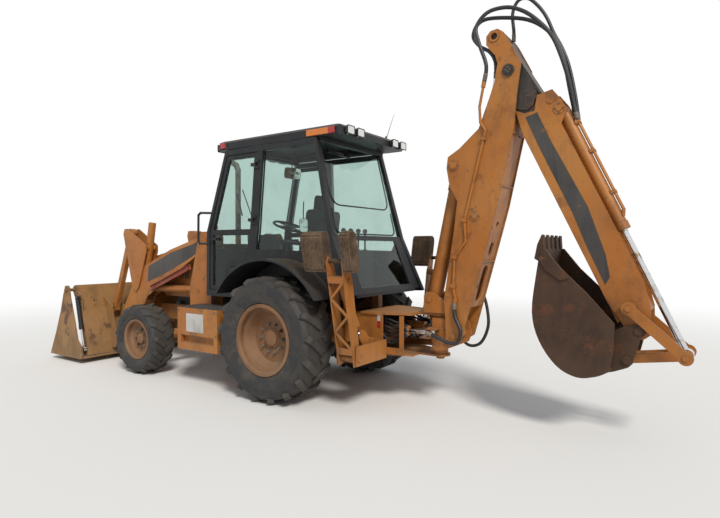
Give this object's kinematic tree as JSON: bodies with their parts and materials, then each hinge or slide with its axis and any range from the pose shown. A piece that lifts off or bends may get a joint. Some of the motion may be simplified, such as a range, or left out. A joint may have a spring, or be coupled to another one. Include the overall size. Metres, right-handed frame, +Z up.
{
  "type": "backhoe loader",
  "caption": "Four-wheel-drive backhoe loader with a closed cab, a clam loader bucket at the front, and a folded extending digging arm and stabilizer legs at the rear.",
  "frame": {"origin": "On the ground, below the middle of the machine's box", "axes": "+X forward, from the digging arm to the loader bucket; +Y to the machine's left; +Z up"},
  "size_m": [7.4988, 2.181, 3.7289],
  "materials": {
    "frame_orange": "satin, dusty",
    "engine_grey": "matte, oily",
    "cab_black": "satin, dusty",
    "glass_green": "gloss",
    "seat_black": "matte",
    "lamp_white": "gloss",
    "rim_orange": "satin, dusty",
    "tyre_rubber": "matte, dusty",
    "rod_chrome": "polished",
    "bucket_tan": "worn",
    "bucket_rust": "rusty",
    "pad_rubber": "matte, worn",
    "dipper_black": "worn, greasy",
    "hose_black": "satin, dusty",
    "clam_black": "satin"
  },
  "bodies": {
    "root": {"chassis": "frame_orange", "engine": "engine_grey", "axles": "frame_orange", "side_boxes": "frame_orange", "cab_frame": "cab_black", "cab_glass": "glass_green", "seat": "seat_black", "lamps": "lamp_white", "rear_frame": "frame_orange"},
    "hood": {"hood": "frame_orange"},
    "door_left": {"door_left": "cab_black", "door_glass_left": "glass_green"},
    "door_right": {"door_right": "cab_black", "door_glass_right": "glass_green"},
    "knuckle_left": {"knuckle_left": "frame_orange"},
    "knuckle_right": {"knuckle_right": "frame_orange"},
    "front_wheel_left": {"front_rim_left": "rim_orange", "front_tyre_left": "tyre_rubber"},
    "front_wheel_right": {"front_rim_right": "rim_orange", "front_tyre_right": "tyre_rubber"},
    "rear_wheel_left": {"rear_rim_left": "rim_orange", "rear_tyre_left": "tyre_rubber"},
    "rear_wheel_right": {"rear_rim_right": "rim_orange", "rear_tyre_right": "tyre_rubber"},
    "loader_arms": {"loader_arms": "frame_orange"},
    "bellcranks": {"bellcranks": "frame_orange"},
    "loader_links": {"loader_links": "frame_orange"},
    "loader_bucket": {"loader_bucket": "bucket_tan"},
    "clam": {"clam": "bucket_tan"},
    "lift_barrels": {"lift_barrels": "frame_orange"},
    "lift_rods": {"lift_rods": "rod_chrome"},
    "tilt_barrels": {"tilt_barrels": "frame_orange"},
    "tilt_rods": {"tilt_rods": "rod_chrome"},
    "clam_barrels": {"clam_barrels": "clam_black"},
    "clam_rods": {"clam_rods": "rod_chrome"},
    "swing_tower": {"swing_tower": "frame_orange", "foot_hoses": "hose_black"},
    "swing_rod_left": {"swing_rod_left": "rod_chrome"},
    "swing_rod_right": {"swing_rod_right": "rod_chrome"},
    "boom": {"boom": "frame_orange", "top_hoses": "hose_black"},
    "boom_barrel": {"boom_barrel": "frame_orange"},
    "boom_rod": {"boom_rod": "rod_chrome"},
    "dipper": {"dipper": "dipper_black"},
    "crowd_barrel": {"crowd_barrel": "frame_orange"},
    "crowd_rod": {"crowd_rod": "rod_chrome"},
    "extension": {"extension": "frame_orange"},
    "curl_barrel": {"curl_barrel": "frame_orange"},
    "curl_rod": {"curl_rod": "rod_chrome"},
    "curl_links": {"curl_links": "frame_orange"},
    "push_link": {"push_link": "frame_orange"},
    "hoe_bucket": {"hoe_bucket": "bucket_rust"},
    "leg_left": {"leg_left": "frame_orange"},
    "leg_right": {"leg_right": "frame_orange"},
    "leg_barrel_left": {"leg_barrel_left": "frame_orange"},
    "leg_barrel_right": {"leg_barrel_right": "frame_orange"},
    "leg_rod_left": {"leg_rod_left": "rod_chrome"},
    "leg_rod_right": {"leg_rod_right": "rod_chrome"},
    "pad_left": {"pad_left": "pad_rubber"},
    "pad_right": {"pad_right": "pad_rubber"}
  },
  "joints": [
    {"name": "steer_left", "type": "hinge", "parent": "root", "child": "knuckle_left", "pos_m": [1.896, 0.607, 0.4155], "axis": [0, 0, 1], "range_deg": [-38, 38]},
    {"name": "front_wheel_left", "type": "hinge", "parent": "knuckle_left", "child": "front_wheel_left", "pos_m": [1.896, 0.812, 0.4155], "axis": [0, 1, 0], "continuous": true},
    {"name": "steer_right", "type": "hinge", "parent": "root", "child": "knuckle_right", "pos_m": [1.896, -0.607, 0.4155], "axis": [0, 0, 1], "range_deg": [-38.2, 38.2]},
    {"name": "front_wheel_right", "type": "hinge", "parent": "knuckle_right", "child": "front_wheel_right", "pos_m": [1.896, -0.812, 0.4155], "axis": [0, 1, 0], "continuous": true},
    {"name": "rear_wheel_left", "type": "hinge", "parent": "root", "child": "rear_wheel_left", "pos_m": [-0.25, 0.8, 0.62], "axis": [0, 1, 0], "continuous": true},
    {"name": "rear_wheel_right", "type": "hinge", "parent": "root", "child": "rear_wheel_right", "pos_m": [-0.25, -0.8, 0.62], "axis": [0, 1, 0], "continuous": true},
    {"name": "door_left", "type": "hinge", "parent": "root", "child": "door_left", "pos_m": [0.195, 0.6818, 1.699], "axis": [0, -0.0698, 0.9976], "range_deg": [0, 90]},
    {"name": "door_right", "type": "hinge", "parent": "root", "child": "door_right", "pos_m": [0.195, -0.6818, 1.699], "axis": [0, -0.0698, -0.9976], "range_deg": [0, 90]},
    {"name": "hood_lid", "type": "hinge", "parent": "root", "child": "hood", "pos_m": [2.35, 0, 1.085], "axis": [0, 1, 0], "range_deg": [0, 50]},
    {"name": "loader_lift", "type": "hinge", "parent": "root", "child": "loader_arms", "pos_m": [1.03, 0, 1.6], "axis": [0, -1, 0], "range_deg": [0, 85]},
    {"name": "lift_barrel_swing", "type": "hinge", "parent": "root", "child": "lift_barrels", "pos_m": [1.17, 0, 1.01], "axis": [0, -1, 0], "range_deg": [0, 72.42]},
    {"name": "lift_rod_slide", "type": "slide", "parent": "lift_barrels", "child": "lift_rods", "axis": [1, 0, -0.0091], "range_m": [-0.0001, 0.7625]},
    {"name": "bucket_tilt", "type": "hinge", "parent": "loader_arms", "child": "loader_bucket", "pos_m": [2.8, 0, 0.2501], "axis": [0, 1, 0], "range_deg": [-25, 90]},
    {"name": "bellcrank_turn", "type": "hinge", "parent": "loader_arms", "child": "bellcranks", "pos_m": [2.4115, 0, 1.0105], "axis": [0, -1, 0], "range_deg": [-65.23, 18.12]},
    {"name": "bucket_link_turn", "type": "hinge", "parent": "bellcranks", "child": "loader_links", "pos_m": [2.6169, 0, 1.7103], "axis": [0, -1, 0], "range_deg": [-14.3, 51.48]},
    {"name": "tilt_barrel_swing", "type": "hinge", "parent": "bellcranks", "child": "tilt_barrels", "pos_m": [2.2281, 0, 1.5088], "axis": [0, -1, 0], "range_deg": [-10.04, 2.79]},
    {"name": "tilt_rod_slide", "type": "slide", "parent": "tilt_barrels", "child": "tilt_rods", "axis": [0.185, 0, -0.9827], "range_m": [-0.0434, 0.156]},
    {"name": "clam_open", "type": "hinge", "parent": "loader_bucket", "child": "clam", "pos_m": [3.28, 0, 0.9501], "axis": [0, -1, 0], "range_deg": [0, 80]},
    {"name": "clam_barrel_swing", "type": "hinge", "parent": "loader_bucket", "child": "clam_barrels", "pos_m": [3.13, 0, 0.8501], "axis": [0, -1, 0], "range_deg": [0, 81.86]},
    {"name": "clam_rod_slide", "type": "slide", "parent": "clam_barrels", "child": "clam_rods", "axis": [-0.2356, 0, -0.9719], "range_m": [-0.0001, 0.2305]},
    {"name": "swing", "type": "hinge", "parent": "root", "child": "swing_tower", "pos_m": [-1.67, 0, 0.7], "axis": [0, 0, 1], "range_deg": [-89, 89]},
    {"name": "swing_rod_left_slide", "type": "slide", "parent": "root", "child": "swing_rod_left", "axis": [-1, 0, 0], "range_m": [-0.2045, 0.2045]},
    {"name": "swing_rod_right_slide", "type": "slide", "parent": "root", "child": "swing_rod_right", "axis": [-1, 0, 0], "range_m": [-0.2045, 0.2045]},
    {"name": "boom_lift", "type": "hinge", "parent": "swing_tower", "child": "boom", "pos_m": [-1.87, 0, 0.7], "axis": [0, -1, 0], "range_deg": [0, 100], "deforming": ["foot_hoses"]},
    {"name": "boom_barrel_swing", "type": "hinge", "parent": "swing_tower", "child": "boom_barrel", "pos_m": [-1.61, 0, 1.03], "axis": [0, -1, 0], "range_deg": [0, 96.6]},
    {"name": "boom_rod_slide", "type": "slide", "parent": "boom_barrel", "child": "boom_rod", "axis": [-0.2058, 0, 0.9786], "range_m": [-0.0001, 0.6371]},
    {"name": "dipper_swing", "type": "hinge", "parent": "boom", "child": "dipper", "pos_m": [-2.3763, 0, 3.0419], "axis": [0, 1, 0], "range_deg": [0, 105], "deforming": ["top_hoses"]},
    {"name": "crowd_barrel_swing", "type": "hinge", "parent": "boom", "child": "crowd_barrel", "pos_m": [-2.0803, 0, 1.8004], "axis": [0, -1, 0], "range_deg": [-4.91, 0]},
    {"name": "crowd_rod_slide", "type": "slide", "parent": "crowd_barrel", "child": "crowd_rod", "axis": [-0.1075, 0, 0.9942], "range_m": [-0.5311, 0.0001]},
    {"name": "dipper_extend", "type": "slide", "parent": "dipper", "child": "extension", "axis": [-0.4296, 0, -0.903], "range_m": [0, 1]},
    {"name": "bucket_curl", "type": "hinge", "parent": "extension", "child": "hoe_bucket", "pos_m": [-3.4034, 0, 0.8827], "axis": [0, 1, 0], "range_deg": [0, 160]},
    {"name": "idler_turn", "type": "hinge", "parent": "extension", "child": "curl_links", "pos_m": [-3.3316, 0, 1.0523], "axis": [0, -1, 0], "range_deg": [-94.19, 0]},
    {"name": "push_link_turn", "type": "hinge", "parent": "curl_links", "child": "push_link", "pos_m": [-3.7118, 0, 0.7116], "axis": [0, -1, 0], "range_deg": [0, 25.49]},
    {"name": "curl_barrel_swing", "type": "hinge", "parent": "extension", "child": "curl_barrel", "pos_m": [-2.7939, 0, 2.6647], "axis": [0, -1, 0], "range_deg": [-9.94, 0]},
    {"name": "curl_rod_slide", "type": "slide", "parent": "curl_barrel", "child": "curl_rod", "axis": [-0.4254, 0, -0.905], "range_m": [-0.681, 0.0001]},
    {"name": "stabilizer_left", "type": "hinge", "parent": "root", "child": "leg_left", "pos_m": [-1.15, 0.8, 0.52], "axis": [-1, 0, 0], "range_deg": [0, 113]},
    {"name": "leg_barrel_left_swing", "type": "hinge", "parent": "leg_left", "child": "leg_barrel_left", "pos_m": [-1.15, 0.9204, 1.2305], "axis": [1, 0, 0], "range_deg": [0, 12.82]},
    {"name": "leg_rod_left_slide", "type": "slide", "parent": "leg_barrel_left", "child": "leg_rod_left", "axis": [0, -0.4576, -0.8892], "range_m": [-0.0001, 0.3639]},
    {"name": "pad_left", "type": "hinge", "parent": "leg_left", "child": "pad_left", "pos_m": [-1.15, 0.9871, 1.4003], "axis": [1, 0, 0], "range_deg": [0, 100]},
    {"name": "stabilizer_right", "type": "hinge", "parent": "root", "child": "leg_right", "pos_m": [-1.15, -0.8, 0.52], "axis": [1, 0, 0], "range_deg": [0, 113]},
    {"name": "leg_barrel_right_swing", "type": "hinge", "parent": "leg_right", "child": "leg_barrel_right", "pos_m": [-1.15, -0.9204, 1.2305], "axis": [-1, 0, 0], "range_deg": [0, 12.82]},
    {"name": "leg_rod_right_slide", "type": "slide", "parent": "leg_barrel_right", "child": "leg_rod_right", "axis": [0, 0.4576, -0.8892], "range_m": [-0.0001, 0.3639]},
    {"name": "pad_right", "type": "hinge", "parent": "leg_right", "child": "pad_right", "pos_m": [-1.15, -0.9871, 1.4003], "axis": [-1, 0, 0], "range_deg": [0, 100]}
  ],
  "couplings": [
    {"joint": "steer_right", "follows": "steer_left", "ratio": 1},
    {"joint": "lift_barrel_swing", "follows": "loader_lift", "ratio": 0.85203},
    {"joint": "lift_rod_slide", "follows": "loader_lift", "m_per_rad": 0.51393},
    {"joint": "bellcrank_turn", "follows": "bucket_tilt", "ratio": -0.7248},
    {"joint": "bucket_link_turn", "follows": "bucket_tilt", "ratio": 0.572},
    {"joint": "tilt_barrel_swing", "follows": "bucket_tilt", "ratio": -0.11158},
    {"joint": "tilt_rod_slide", "follows": "bucket_tilt", "m_per_rad": 0.09924},
    {"joint": "clam_barrel_swing", "follows": "clam_open", "ratio": 1.0232},
    {"joint": "clam_rod_slide", "follows": "clam_open", "m_per_rad": 0.16498},
    {"joint": "swing_rod_left_slide", "follows": "swing", "m_per_rad": 0.13158},
    {"joint": "swing_rod_right_slide", "follows": "swing", "m_per_rad": -0.13158},
    {"joint": "boom_barrel_swing", "follows": "boom_lift", "ratio": 0.96598},
    {"joint": "boom_rod_slide", "follows": "boom_lift", "m_per_rad": 0.36498},
    {"joint": "crowd_barrel_swing", "follows": "dipper_swing", "ratio": -0.04673},
    {"joint": "crowd_rod_slide", "follows": "dipper_swing", "m_per_rad": -0.28975},
    {"joint": "idler_turn", "follows": "bucket_curl", "ratio": -0.5887},
    {"joint": "push_link_turn", "follows": "bucket_curl", "ratio": 0.15929},
    {"joint": "curl_barrel_swing", "follows": "bucket_curl", "ratio": -0.06215},
    {"joint": "curl_rod_slide", "follows": "bucket_curl", "m_per_rad": -0.24383},
    {"joint": "leg_barrel_left_swing", "follows": "stabilizer_left", "ratio": 0.11342},
    {"joint": "leg_rod_left_slide", "follows": "stabilizer_left", "m_per_rad": 0.18446},
    {"joint": "leg_barrel_right_swing", "follows": "stabilizer_right", "ratio": 0.11342},
    {"joint": "leg_rod_right_slide", "follows": "stabilizer_right", "m_per_rad": 0.18446}
  ]
}
